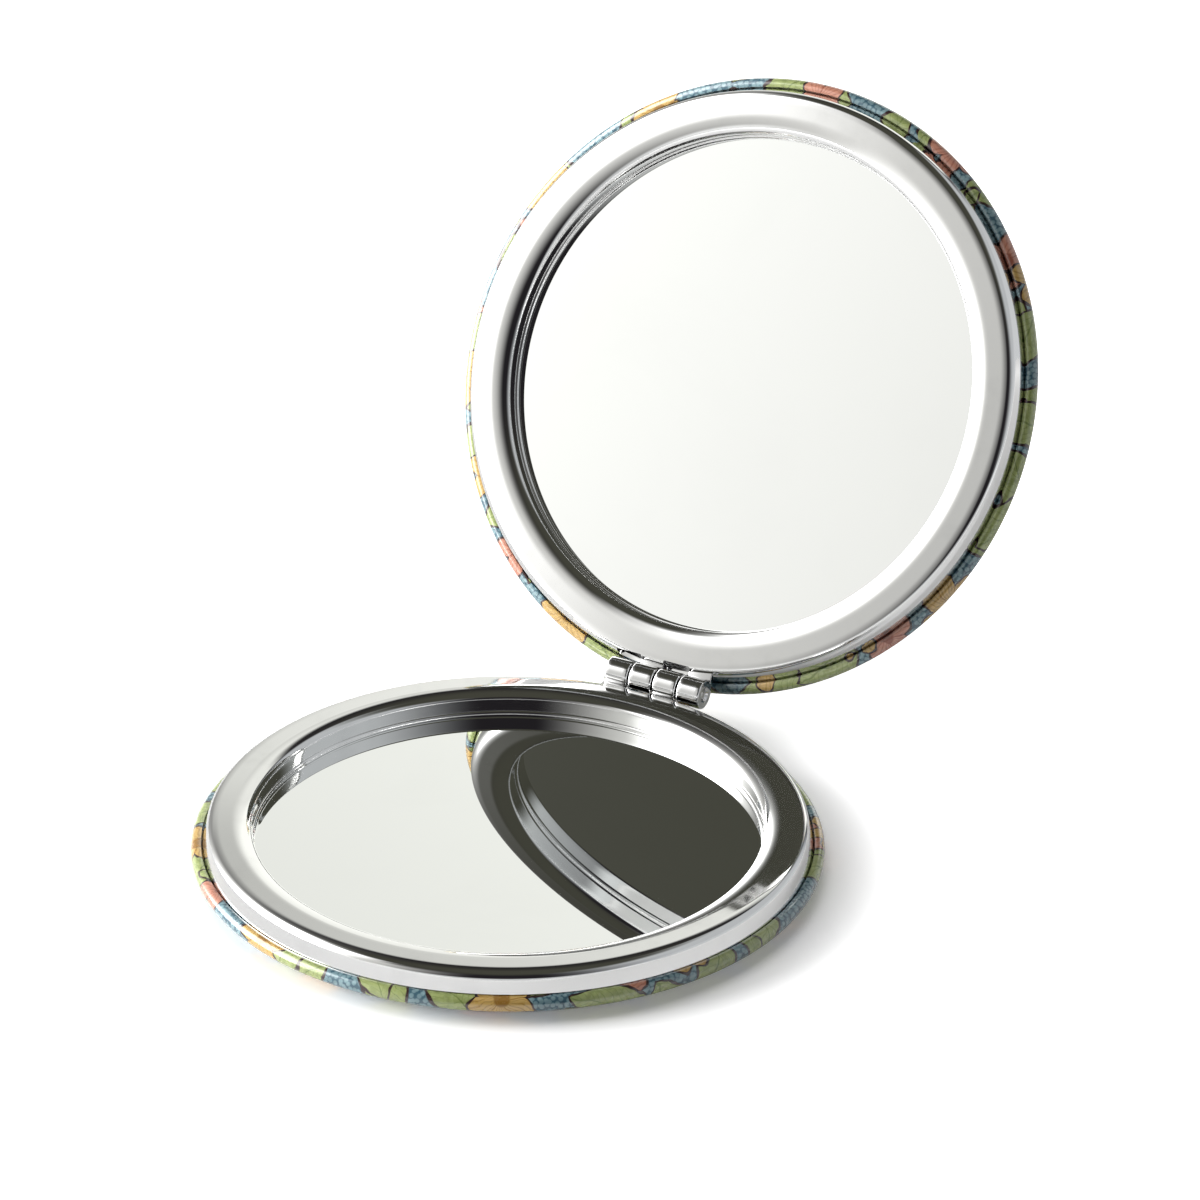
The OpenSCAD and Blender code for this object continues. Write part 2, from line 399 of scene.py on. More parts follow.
@dataclass(frozen=True)
class Plating(Finish):
    """Bright plated metal: a faint orange peel, hazy patches and fine rub marks.

    Grain is in grains per metre, here and in the other finishes.
    """

    metal: float = 1.0
    peel_size: float = 2.6 * MM
    peel_depth: float = 0.0006 * MM
    haze: float = 0.02
    haze_grain: float = 170.0
    rub_grain: Triple = (260.0, 2600.0, 2600.0)
    dulled: float = 0.93

    def detail(self, recipe: Recipe) -> None:
        """Adds the peel, the haze and the rub marks.

        Args:
            recipe: The node tree.
        """
        place = recipe.object_place()
        patches = recipe.noise(place, self.haze_grain, 3.0, 0.6)
        rubbed = recipe.noise(recipe.vector("MULTIPLY", place, self.rub_grain), 1.0, 2.0, 0.7)
        marks = recipe.step(rubbed, 0.62, 0.74)
        rough = recipe.step(patches, 0.35, 0.7, self.roughness, self.roughness + self.haze)
        recipe.feed("Roughness", recipe.maths("MULTIPLY_ADD", marks, self.haze * 0.5, rough))
        self.mottle(recipe, recipe.step(patches, 0.5, 0.8), self.dulled)
        recipe.emboss(recipe.noise(place, 1.0 / self.peel_size, 1.0, 0.3), self.peel_depth)


@dataclass(frozen=True)
class Silvering(Finish):
    """Silvered glass: a clean cold reflection with a trace of dust and finger haze."""

    metal: float = 1.0
    haze: float = 0.006
    haze_grain: float = 60.0
    dust: float = 0.05
    dust_grain: float = 5200.0
    dulled: float = 0.985

    def detail(self, recipe: Recipe) -> None:
        """Adds the haze and the dust.

        Args:
            recipe: The node tree.
        """
        place = recipe.object_place()
        hazy = recipe.step(recipe.noise(place, self.haze_grain, 4.0, 0.6, 0.4), 0.45, 0.8)
        specks = recipe.step(recipe.noise(place, self.dust_grain, 1.0, 0.4), 0.78, 0.8)
        rough = recipe.maths("MULTIPLY_ADD", hazy, self.haze, self.roughness)
        recipe.feed("Roughness", recipe.maths("MULTIPLY_ADD", specks, self.dust, rough))
        self.mottle(recipe, hazy, self.dulled)


@dataclass(frozen=True)
class RolledSheet(Finish):
    """Sheet metal as it leaves the rolls: fine lines one way and a few grey clouds."""

    metal: float = 1.0
    line_grain: Triple = (120.0, 7000.0, 7000.0)
    line_depth: float = 0.004 * MM
    cloud_grain: float = 110.0
    clouded: float = 0.78

    def detail(self, recipe: Recipe) -> None:
        """Adds the rolling lines and the clouds.

        Args:
            recipe: The node tree.
        """
        place = recipe.object_place()
        lines = recipe.noise(recipe.vector("MULTIPLY", place, self.line_grain), 1.0, 2.0, 0.6)
        clouds = recipe.noise(place, self.cloud_grain, 3.0, 0.6)
        self.mottle(recipe, recipe.step(clouds, 0.4, 0.75), self.clouded)
        recipe.feed("Roughness", recipe.step(lines, 0.3, 0.7, self.roughness * 0.8, self.roughness * 1.3))
        recipe.emboss(lines, self.line_depth, 0.4)


@dataclass(frozen=True)
class Foam(Finish):
    """Fine closed foam: small cells, with painted shade darkening their hollows."""

    cell: float = 0.35 * MM
    cell_depth: float = 0.05 * MM
    hollow_shade: float = 0.8

    def detail(self, recipe: Recipe) -> None:
        """Adds the cells.

        Args:
            recipe: The node tree.
        """
        values = {"Vector": recipe.object_place(), "Scale": 1.0 / self.cell}
        cells = recipe.node("TexVoronoi", values, feature="F1").outputs["Distance"]
        # Painted shade: the colour is darker where the cells' hollows are.
        self.mottle(recipe, recipe.step(cells, 0.3, 0.05), self.hollow_shade)
        recipe.emboss(cells, self.cell_depth, 0.7)


@dataclass(frozen=True)
class AdhesiveTape(Finish):
    """Double-sided tape: a fibrous cloudy carrier."""

    fibre_grain: Triple = (900.0, 4200.0, 900.0)
    clouded: float = 0.86

    def detail(self, recipe: Recipe) -> None:
        """Adds the fibres and the clouding.

        Args:
            recipe: The node tree.
        """
        place = recipe.vector("MULTIPLY", recipe.object_place(), self.fibre_grain)
        fibres = recipe.noise(place, 1.0, 3.0, 0.7, 0.6)
        self.mottle(recipe, recipe.step(fibres, 0.4, 0.65), self.clouded)
        recipe.feed("Roughness", recipe.step(fibres, 0.3, 0.7, self.roughness * 0.85, self.roughness))


@dataclass(frozen=True)
class Motif:
    """One kind of printed figure, scattered over the film: a leaf, or a bloom if it has petals.

    Spacing and size are in millimetres of the flat film, and so are a leaf's rib and
    veins. Seed moves the whole scatter. A pair says where an ink begins and where it is
    full, for the eye in shares of the size.
    """

    spacing: float
    size: float
    seed: Pair
    fill: Colour
    shade: Colour
    petals: int = 0
    slimness: float = 0.45
    stretch: float = 1.15
    rib: Pair = (0.16, 0.05)
    vein: Pair = (0.10, 0.02)
    vein_step: float = 0.42
    vein_slant: float = -0.9
    vein_ink: float = 0.75
    cloud_grain: float = 1.1
    cloud_ink: float = 0.5
    spread: float = 0.55
    waist: float = 0.62
    fold: Pair = (0.16, 0.04)
    eye: Pair = (0.16, 0.12)
    streaks: float = 5.0
    streak_ink: float = 0.55


@dataclass(frozen=True)
class PrintedFilm(Finish):
    """Printed film under gloss: leaves and blooms with dark outlines on a spotted ground.

    The map spans SPAN millimetres of the flat film. Sizes on the film are in millimetres,
    and its grain is in grains per millimetre.
    """

    MAP = "flat_film"
    SPAN = 80.0

    ground: Colour = (0.045, 0.11, 0.15)
    spot: Colour = (0.24, 0.37, 0.40)
    outline: Colour = (0.03, 0.01, 0.01)
    line: float = 0.25
    wander: float = 1.1
    wander_grain: float = 0.55
    spot_grain: float = 1.7
    cloud_grain: float = 0.5
    wear: float = 0.1
    relief_grain: float = 3.0
    relief_depth: float = 0.01 * MM
    gloss: tuple[tuple[str, float], ...] = (
        ("Specular IOR Level", 0.55),
        ("Coat Weight", 1.0),
        ("Coat IOR", 1.6),
        ("Coat Roughness", 0.06),
    )
    motifs: tuple[Motif, ...] = (
        Motif(10.5, 9.2, (3.1, 7.7), (0.35, 0.41, 0.15), (0.18, 0.23, 0.07), 0, 0.5),
        Motif(13.5, 6.6, (17.3, 2.9), (0.56, 0.25, 0.17), (0.32, 0.10, 0.06), 5),
        Motif(11.7, 8.2, (41.9, 23.3), (0.39, 0.45, 0.18), (0.22, 0.28, 0.09), 0, 0.55),
        Motif(16.0, 7.4, (29.5, 61.1), (0.58, 0.38, 0.12), (0.31, 0.16, 0.03), 6),
    )

    def detail(self, recipe: Recipe) -> None:
        """Prints the ground and each motif, then adds the gloss coat's relief.

        Args:
            recipe: The node tree.
        """
        flat = recipe.node("UVMap", uv_map=self.MAP).outputs[0]
        place = recipe.vector("MULTIPLY", flat, (self.SPAN, self.SPAN, 0.0))
        values = {"Vector": place, "Scale": self.wander_grain, "Detail": 1.0}
        wobble = recipe.vector("SUBTRACT", recipe.node("TexNoise", values).outputs["Color"], (0.5, 0.5, 0.5))
        drift = recipe.vector("MULTIPLY", wobble, (self.wander, self.wander, 0.0))
        bent = recipe.vector("ADD", place, drift)
        colour = self.spotted_ground(recipe, place)
        for motif in self.motifs:
            drawn = self.bloom(recipe, bent, motif) if motif.petals else self.leaf(recipe, bent, motif)
            colour = self.stamped(recipe, colour, *drawn)
        recipe.feed("Base Color", colour)
        worn = recipe.noise(place, self.cloud_grain, 4.0, 0.65)
        recipe.feed("Roughness", recipe.step(worn, 0.3, 0.75, self.roughness, self.roughness + self.wear))
        for name, value in self.gloss:
            recipe.shader.inputs[name].default_value = value
        recipe.emboss(recipe.noise(place, self.relief_grain, 3.0, 0.6), self.relief_depth, 0.35)

    def spotted_ground(self, recipe: Recipe, place: Socket) -> Socket:
        """The ground: pale blobs of about half a millimetre, parted by darker lines.

        Args:
            recipe: The node tree.
            place: Point on the flat film in millimetres.

        Returns:
            The ground's colour.
        """
        blob = recipe.step(recipe.cells(place, self.spot_grain, 0.75).outputs["Distance"], 0.62, 0.3)
        tone = recipe.noise(place, self.cloud_grain, 2.0)
        soft = recipe.times(blob, recipe.step(tone, 0.3, 0.7, 0.6, 1.0))
        return recipe.tint(soft, self.ground, self.spot)

    def scatter(self, recipe: Recipe, place: Socket, motif: Motif) -> tuple[Socket, Socket]:
        """The point seen from the nearest figure's own middle, turned its own way.

        Args:
            recipe: The node tree.
            place: Point on the flat film in millimetres.
            motif: The figure scattered.

        Returns:
            Its two coordinates in millimetres.
        """
        moved = recipe.vector("ADD", place, (*motif.seed, 0.0))
        cells = recipe.cells(moved, 1.0 / motif.spacing, 0.62).outputs
        chance = recipe.node("SeparateColor", {0: cells["Color"]}).outputs[0]
        away = recipe.vector("SUBTRACT", moved, cells["Position"])
        values = {"Vector": away, "Angle": recipe.times(chance, 2 * math.pi)}
        turned = recipe.node("VectorRotate", values, rotation_type="Z_AXIS").outputs[0]
        parts = recipe.node("SeparateXYZ", {0: turned}).outputs
        return parts[0], parts[1]

    def leaf(self, recipe: Recipe, place: Socket, motif: Motif) -> tuple[Socket, Socket]:
        """A pointed leaf: half width = slimness x half length x (1 - (x / half length)^2).

        A rib runs along its middle, and veins slant off it at even steps.

        Args:
            recipe: The node tree.
            place: Point on the flat film in millimetres.
            motif: The leaf's sizes and colours.

        Returns:
            How far inside the leaf's edge the point is, and the leaf's colour.
        """
        along, across = self.scatter(recipe, place, motif)
        half = motif.size / 2 * motif.stretch
        share = recipe.maths("DIVIDE", along, half)
        swell = recipe.times(recipe.maths("SUBTRACT", 1.0, recipe.times(share, share)), motif.slimness * half)
        beside = recipe.maths("ABSOLUTE", across)
        inside = recipe.maths("SUBTRACT", swell, beside)
        rib = recipe.step(beside, *motif.rib)
        slant = recipe.maths("MULTIPLY_ADD", beside, motif.vein_slant, along)
        vein = recipe.step(recipe.maths("PINGPONG", slant, motif.vein_step), *motif.vein)
        marks = recipe.maths("MAXIMUM", rib, recipe.times(vein, motif.vein_ink))
        clouds = recipe.step(recipe.noise(place, motif.cloud_grain, 2.0), 0.4, 0.65)
        tone = recipe.maths("MAXIMUM", marks, recipe.times(clouds, motif.cloud_ink))
        return inside, recipe.tint(tone, motif.fill, motif.shade)

    def bloom(self, recipe: Recipe, place: Socket, motif: Motif) -> tuple[Socket, Socket]:
        """A round bloom: radius = reach x (waist + (1 - waist) x |cos(petals x angle / 2)|).

        Streaks run out from a dark eye, and folds part the petals.

        Args:
            recipe: The node tree.
            place: Point on the flat film in millimetres.
            motif: The bloom's sizes and colours.

        Returns:
            How far inside the bloom's edge the point is, and the bloom's colour.
        """
        first, second = self.scatter(recipe, place, motif)
        angle = recipe.maths("ARCTAN2", second, first)
        squares = recipe.maths("ADD", recipe.times(first, first), recipe.times(second, second))
        distance = recipe.maths("SQRT", squares)
        lobe = recipe.maths("ABSOLUTE", recipe.maths("COSINE", recipe.times(angle, motif.petals / 2)))
        reach = motif.size * motif.spread
        edge = recipe.maths("MULTIPLY_ADD", lobe, (1 - motif.waist) * reach, motif.waist * reach)
        inside = recipe.maths("SUBTRACT", edge, distance)
        wave = recipe.maths("SINE", recipe.times(angle, motif.petals * motif.streaks))
        streak = recipe.times(recipe.step(wave, 0.35, 0.9), motif.streak_ink)
        fold = recipe.step(lobe, *motif.fold)
        eye = recipe.step(distance, *(share * motif.size for share in motif.eye))
        tone = recipe.maths("MAXIMUM", streak, recipe.maths("MAXIMUM", fold, eye))
        return inside, recipe.tint(tone, motif.fill, motif.shade)

    def stamped(self, recipe: Recipe, under: Socket, inside: Socket, fill: Socket) -> Socket:
        """Lays a figure and its outline over what is printed so far.

        Args:
            recipe: The node tree.
            under: The colour so far.
            inside: How far inside the figure's edge the point is.
            fill: The figure's colour.

        Returns:
            The colour with the figure on it.
        """
        outlined = recipe.tint(recipe.step(inside, -self.line, -self.line * 0.5), under, self.outline)
        return recipe.tint(recipe.step(inside, self.line * 0.4, self.line * 0.9), outlined, fill)


@dataclass(frozen=True)
class Finishes:
    """Every finish on the mirror, made once and shared, each by its slot's name."""

    kinds: tuple[Finish, ...] = (
        Plating("frame_chrome", (0.74, 0.74, 0.735), 0.045),
        Plating("hinge_chrome", (0.70, 0.70, 0.70), 0.07, haze=0.05),
        RolledSheet("pin_steel", (0.62, 0.62, 0.61), 0.22),
        Silvering("silvered_glass", (0.93, 0.94, 0.93), 0.0),
        PrintedFilm("printed_skin", (0.42, 0.55, 0.42), 0.22),
        RolledSheet("tinplate", (0.6, 0.6, 0.6), 0.28),
        Foam("foam", (0.92, 0.92, 0.9), 0.9),
        AdhesiveTape("tape", (0.9, 0.87, 0.75), 0.6),
        Plating("magnet", (0.45, 0.45, 0.47), 0.2, haze=0.12),
    )
    made: dict[str, bpy.types.Material] = field(default_factory=dict)

    def __post_init__(self) -> None:
        """Makes the material of each finish."""
        self.made.update({kind.name: kind.material() for kind in self.kinds})

    def dress(self, made: bpy.types.Object, slot: str) -> None:
        """Gives a piece or a carried-over node the finish of a slot.

        Args:
            made: The object.
            slot: The record's slot name.
        """
        made.data.materials.clear()
        made.data.materials.append(self.made[slot])


# Sub-assemblies


@dataclass(frozen=True)
class Layout:
    """Sizes that the sub-assemblies share, and where each half stands."""

    case_r: float = 35.0 * MM
    rim_r: float = 0.87 * MM
    rim_z: float = 2.2 * MM
    rest_r: float = 30.53 * MM
    frame_r: float = 33.85 * MM
    wall_draft: float = math.radians(14.0)
    bend_r: float = 1.2 * MM
    land_w: float = 1.95 * MM
    land_z: float = 5.6 * MM
    glass_top: float = 2.95 * MM
    flange_top: float = 2.55 * MM
    hinge_y: float = 34.97 * MM
    hinge_z: float = 5.7 * MM
    knuckle_r: float = 1.7 * MM
    knuckle_len: float = 2.85 * MM
    knuckle_gap: float = 0.2 * MM
    hinge_len: float = 12.0 * MM
    pin_r: float = 0.65 * MM
    leaf_t: float = 0.6 * MM
    open_angle: float = 122.0

    @property
    def rim_at_r(self) -> float:
        """Radius of the middle of the rolled rim."""
        return self.case_r - self.rim_r

    @property
    def bend_at_r(self) -> float:
        """Radius at which the bend's arc has its middle and the land begins."""
        rise = self.land_z - self.bend_r * (1 - math.sin(self.wall_draft)) - self.flange_top
        return self.frame_r - rise * math.tan(self.wall_draft) - self.bend_r * math.cos(self.wall_draft)

    @property
    def lip_at_r(self) -> float:
        """Radius at which the land ends and the lip begins."""
        return self.bend_at_r - self.land_w

    def knuckle_x(self, number: int) -> float:
        """Left end of a knuckle, counted from the barrel's left end."""
        return number * (self.knuckle_len + self.knuckle_gap) - self.hinge_len / 2

    def along_barrel(self, verts: np.ndarray, left: float) -> np.ndarray:
        """Lays a turned shape along the barrel: z goes to x from left on, and x, y go to y, z.

        Args:
            verts: Its vertices, turned about the height axis.
            left: Where its lower end comes to lie.

        Returns:
            The laid vertices.
        """
        return np.stack([verts[:, 2] + left, verts[:, 0] + self.hinge_y, verts[:, 1] + self.hinge_z], axis=1)

    def place(self, half: Half) -> Matrix:
        """Where a half stands.

        Args:
            half: Which half.

        Returns:
            The lower half's own place, or that place turned over and swung open.
        """
        if half is Half.BASE:
            return Matrix.Identity(4)
        hinge = Vector((0.0, self.hinge_y, self.hinge_z))
        swing = Matrix.Rotation(math.radians(-self.open_angle), 4, "X")
        turn = Matrix.Rotation(math.pi, 4, "Y")
        return Matrix.Translation(hinge) @ swing @ turn @ Matrix.Translation(-hinge)


@dataclass(frozen=True)
class ChromedFrame:
    """The pressed ring: flange, wall, bend, land, lip, well wall and foot.

    Falls are in degrees from the level. The bend goes from tight_r to ease_r where the
    metal falls by ease_fall. The cutters run past the ring by the overshoot.
    """

    layout: Layout
    sheet: float = 0.45 * MM
    land_fall: float = 3.5
    ease_r: float = 4.0 * MM
    ease_fall: float = 13.0
    tight_r: float = 1.0 * MM
    lip_w: float = 1.95 * MM
    lip_h: float = 0.8 * MM
    fillet: float = 0.12 * MM
    foot_w: float = 0.3 * MM
    foot_h: float = 0.45 * MM
    foot_fit: float = 0.02 * MM
    notch_gap: float = 0.2 * MM
    notch_depth: float = 0.9 * MM
    notch_corner: float = 0.15 * MM
    slot_fit: float = 0.03 * MM
    slot_corner: float = 0.05 * MM
    overshoot: float = 1.0 * MM
    sharp_from: float = 30.0
    turns: int = 384

    def bend(self, middle: Pair, land_end: Pair) -> np.ndarray:
        """The bend from the wall to the land: a tight arc, then a wide one that eases into the land.

        The tight arc touches the wall, and the wide one touches the land's straight line.
        The two share a tangent where the metal falls outwards by ease_fall degrees.

        Args:
            middle: Centre of the plain bend whose wall this one keeps.
            land_end: Where the land's line meets the lip.

        Returns:
            Rows of radius and height.
        """
        draft = math.degrees(self.layout.wall_draft)
        wall, turn, land = (heading(angle) for angle in (draft, 90 - self.ease_fall, 90 - self.land_fall))
        apart = self.ease_r - self.tight_r
        at_wall = wall @ middle + self.layout.bend_r - self.tight_r
        at_land = land @ land_end + apart * turn @ land - self.ease_r
        tight = np.linalg.solve(np.array([wall, land]), np.array([at_wall, at_land]))
        wide = tight - apart * turn
        return np.vstack([
            oval(tuple(tight), self.tight_r, self.tight_r, draft, 90 - self.ease_fall, 16),
            oval(tuple(wide), self.ease_r, self.ease_r, 90 - self.ease_fall, 90 - self.land_fall, 8)[1:],
        ])

    def outline(self) -> np.ndarray:
        """The section of the ring, once round.

        The land falls outwards by a few degrees. The lip is part of an ellipse that starts
        where its tangent falls as the land does: tan(angle) = lip_h / (lip_w x fall).

        Returns:
            Rows of radius and height.
        """
        at = self.layout
        draft, lean = math.degrees(at.wall_draft), math.sin(at.wall_draft)
        well_r, lip_z = at.lip_at_r - self.lip_w, at.land_z - self.lip_h
        foot_z, under = at.glass_top + self.foot_fit, at.flange_top - self.sheet
        fall = math.tan(math.radians(self.land_fall))
        bend_z = at.land_z - at.land_w * fall - at.bend_r
        lip_from = math.degrees(math.atan2(self.lip_h, self.lip_w * fall))
        lip = oval((at.lip_at_r, lip_z), self.lip_w, self.lip_h, lip_from, 180, 24)
        bend = self.bend((at.bend_at_r, bend_z), tuple(lip[0]))
        land = bar(tuple(bend[-1]), tuple(lip[0]), 8)
        wall_foot = (at.frame_r - self.fillet * lean, at.flange_top + self.fillet)
        outer = np.vstack([
            bar((at.rim_at_r, under), (at.rim_at_r, at.flange_top), 1),
            [[at.frame_r + self.fillet, at.flange_top]],
            bar(wall_foot, tuple(bend[0]), 6)[:-1],
            bend,
            land[1:-1],
            lip,
            bar((well_r, lip_z), (well_r, foot_z + self.foot_h), 3),
            oval((well_r, foot_z), self.foot_w, self.foot_h, 90, 180, 10),
        ])
        within = at.bend_r - self.sheet
        inner = np.vstack([
            [[well_r + self.sheet, foot_z]],
            oval((at.lip_at_r, lip_z), self.lip_w - self.sheet, self.lip_h - self.sheet, 180, 90, 10),
            oval((at.bend_at_r, bend_z), within, within, 90, draft, 6),
            [[at.frame_r - self.sheet * (1 - lean) / math.cos(at.wall_draft), under]],
        ])
        return thinned(np.vstack([outer, inner]))

    def cutters(self) -> Solid:
        """Blocks for the two notches and the two tab slots at the hinge.

        Returns:
            The vertices and faces of the four blocks.
        """
        at = self.layout
        notch_y = at.hinge_y - at.knuckle_r - self.notch_depth
        notch_z = at.hinge_z - at.knuckle_r - self.notch_gap
        slot_y = math.sqrt(at.bend_at_r ** 2 - (at.hinge_len / 2) ** 2) - self.slot_corner
        slot_z = at.land_z - self.sheet - at.leaf_t - self.slot_fit
        past_r, past_z = at.case_r + self.overshoot, at.land_z + self.overshoot
        slot_top = at.land_z - self.sheet + self.slot_fit
        cuts = (
            ((1, 3), self.notch_gap, notch_y, notch_z, past_z, self.notch_corner),
            ((0, 2), self.slot_fit, slot_y, slot_z, slot_top, self.slot_corner),
        )
        blocks = []
        for numbers, gap, near_y, low_z, high_z, corner in cuts:
            for number in numbers:
                left = at.knuckle_x(number)
                low = (left - gap, near_y, low_z)
                high = (left + at.knuckle_len + gap, past_r, high_z)
                blocks.append(rounded_block(low, high, corner))
        return joined(*blocks)

    def build(self, half: Half, finishes: Finishes) -> bpy.types.Object:
        """Revolves the ring, cuts the hinge's notches and slots, and dresses it.

        Args:
            half: The half that it belongs to.
            finishes: The shared finishes.

        Returns:
            The finished ring.
        """
        place = self.layout.place(half)
        turned = revolve(self.outline(), self.turns)
        ring = piece(f"{half.value}_frame_ring", turned, place, self.sharp_from)
        cutter = piece("hinge_cutter", self.cutters(), place, self.sharp_from)
        cut = ring.modifiers.new("hinge_cuts", "BOOLEAN")
        cut.operation, cut.solver, cut.object = "DIFFERENCE", "MANIFOLD", cutter
        bpy.context.view_layer.update()
        graph = bpy.context.evaluated_depsgraph_get()
        mesh = bpy.data.meshes.new_from_object(ring.evaluated_get(graph))
        ring.modifiers.clear()
        ring.data = mesh
        bpy.data.objects.remove(cutter)
        mesh.shade_smooth()
        mesh.set_sharp_from_angle(angle=math.radians(self.sharp_from))
        finishes.dress(ring, "frame_chrome")
        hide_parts(f"{half.value}_frame")
        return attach(ring, half.value)


@dataclass(frozen=True)
class PrintedCover:
    """The printed skin: flat, shoulder and rolled rim in one, tucked in at the wall.

    The lid's film is cut from another place of the same print, lid_shift spans away.
    """

    layout: Layout
    skin_t: float = 0.25 * MM
    seam_gap: float = 0.03 * MM
    hem_w: float = 0.14 * MM
    hem_fit: float = 0.02 * MM
    lid_shift: float = 1.37
    sharp_from: float = 40.0
    turns: int = 384

    def curve(self, depth: float, rim_end: float, steps: int) -> np.ndarray:
        """The shoulder's arc and the rim's arc, set in by a depth.

        Args:
            depth: Distance inwards from the outer face.
            rim_end: Angle at which the rim's arc ends.
            steps: Steps in each arc.

        Returns:
            Rows of radius and height.
        """
        at = self.layout
        width = at.rim_at_r - at.rest_r
        shoulder_r = (width ** 2 + at.rim_z ** 2 - at.rim_r ** 2) / (2 * (at.rim_z - at.rim_r))
        meet = math.degrees(math.atan2(at.rim_z - shoulder_r, width))
        return np.vstack([
            oval((at.rest_r, shoulder_r), shoulder_r - depth, shoulder_r - depth, -90, meet, steps),
            oval((at.rim_at_r, at.rim_z), at.rim_r - depth, at.rim_r - depth, meet, rim_end, steps * 2)[1:],
        ])

    def outline(self) -> tuple[np.ndarray, np.ndarray]:
        """The section of the skin from the axis out, round the rim and back inside.

        Returns:
            Rows of radius and height, and the film's own length from the middle at each.
        """
        at = self.layout
        seam = at.frame_r + self.seam_gap
        rim_end = math.degrees(math.acos((seam - at.rim_at_r) / at.rim_r))
        flat = np.stack([np.linspace(0, at.rest_r, 24), np.zeros(24)], axis=1)[:-1]
        outer = np.vstack([flat, self.curve(0.0, rim_end, 14)])
        hem_z = at.flange_top + self.hem_fit
        hem = np.array([
            [seam, hem_z],
            [seam + self.hem_w, hem_z],
            [seam + self.hem_w, at.rim_z + at.rim_r - self.skin_t],
        ])
        inner = np.vstack([self.curve(self.skin_t, 90, 8)[::-1], [[0.0, self.skin_t]]])
        section = np.vstack([outer, hem, inner])
        lengths = np.concatenate([[0.0], np.cumsum(np.linalg.norm(np.diff(outer, axis=0), axis=1))])
        within = np.concatenate([np.full(len(hem), lengths[-1]), inner[:, 0]])
        return section, np.concatenate([lengths, within])

    def build(self, half: Half, finishes: Finishes) -> bpy.types.Object:
        """Revolves the skin, lays the flat film's map on it and dresses it.

        The map keeps the film's length from the middle: (0.5 + s cos t / span, 0.5 + s sin t / span).

        Args:
            half: The half that it belongs to.
            finishes: The shared finishes.

        Returns:
            The finished skin.
        """
        section, lengths = self.outline()
        verts, faces = revolve(section, self.turns)
        ring = np.tile(lengths[1:-1], self.turns)
        reach = np.concatenate([ring, [0.0, 0.0]])
        radius = np.maximum(np.linalg.norm(verts[:, :2], axis=1), 1e-9)
        share = reach / (PrintedFilm.SPAN * MM) / radius
        shift = 0.0 if half is Half.BASE else self.lid_shift
        flat = 0.5 + verts[:, :2] * share[:, None] + shift
        place = self.layout.place(half)
        skin = piece(f"{half.value}_printed_skin", (verts, faces), place, self.sharp_from, flat)
        finishes.dress(skin, "printed_skin")
        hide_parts(f"{half.value}_cover_skin")
        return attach(skin, half.value)


